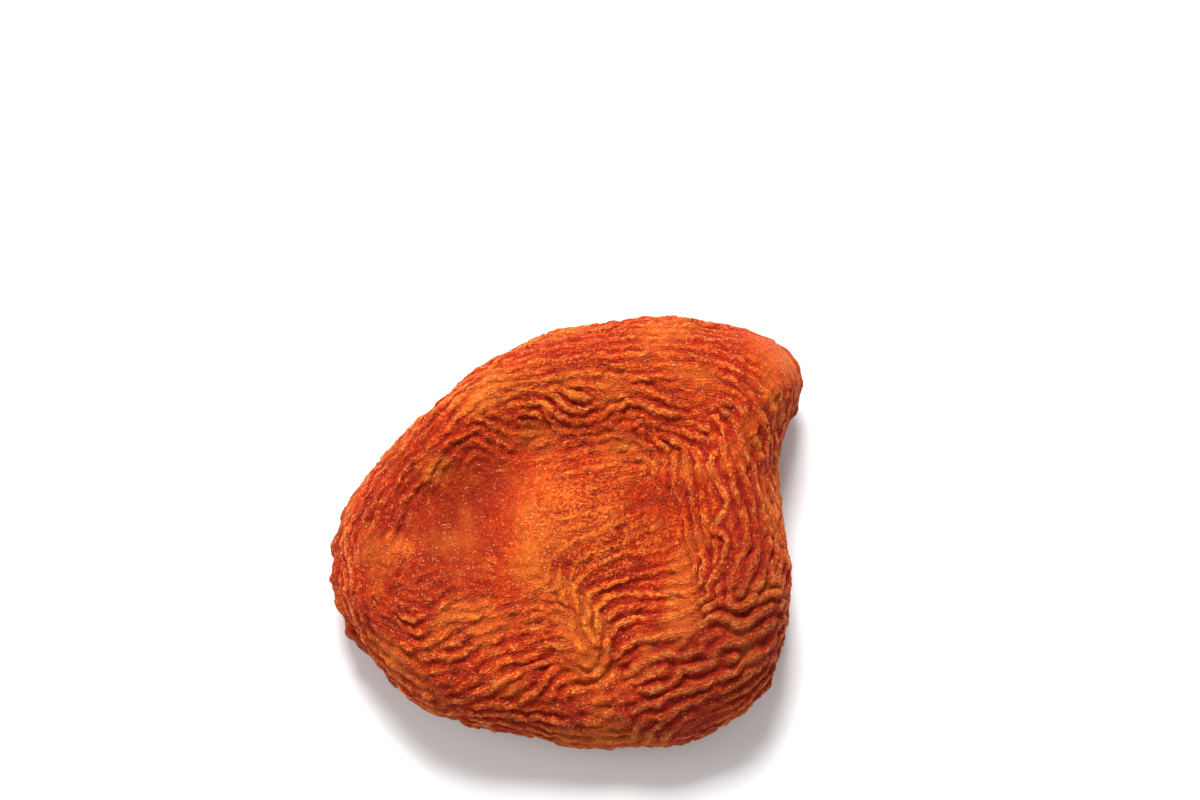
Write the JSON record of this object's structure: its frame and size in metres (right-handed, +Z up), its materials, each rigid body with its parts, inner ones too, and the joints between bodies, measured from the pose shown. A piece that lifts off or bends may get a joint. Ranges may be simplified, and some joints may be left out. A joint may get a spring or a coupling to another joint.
{
  "type": "dried apricot half",
  "caption": "Half of a stoned, dried apricot with wrinkled orange-red skin, a thick rolled rim and a thin sunken middle, lying on its cut side.",
  "frame": {"origin": "on the resting surface, under the middle of the bounding box", "axes": "+Z is up, out of the skin side, and is the shortest way through the fruit; +X is the long way across it, towards its fuller side; +Y is the short way, towards the high side of the rim with the drawn-out corner"},
  "size_m": [0.0464, 0.0434, 0.0136],
  "materials": {
    "dried_flesh": "matte, wrinkled orange-red skin with pale sugar specks, and a glossier, darker cut side"
  },
  "bodies": {
    "root": {"apricot_half": "dried_flesh"}
  },
  "joints": []
}
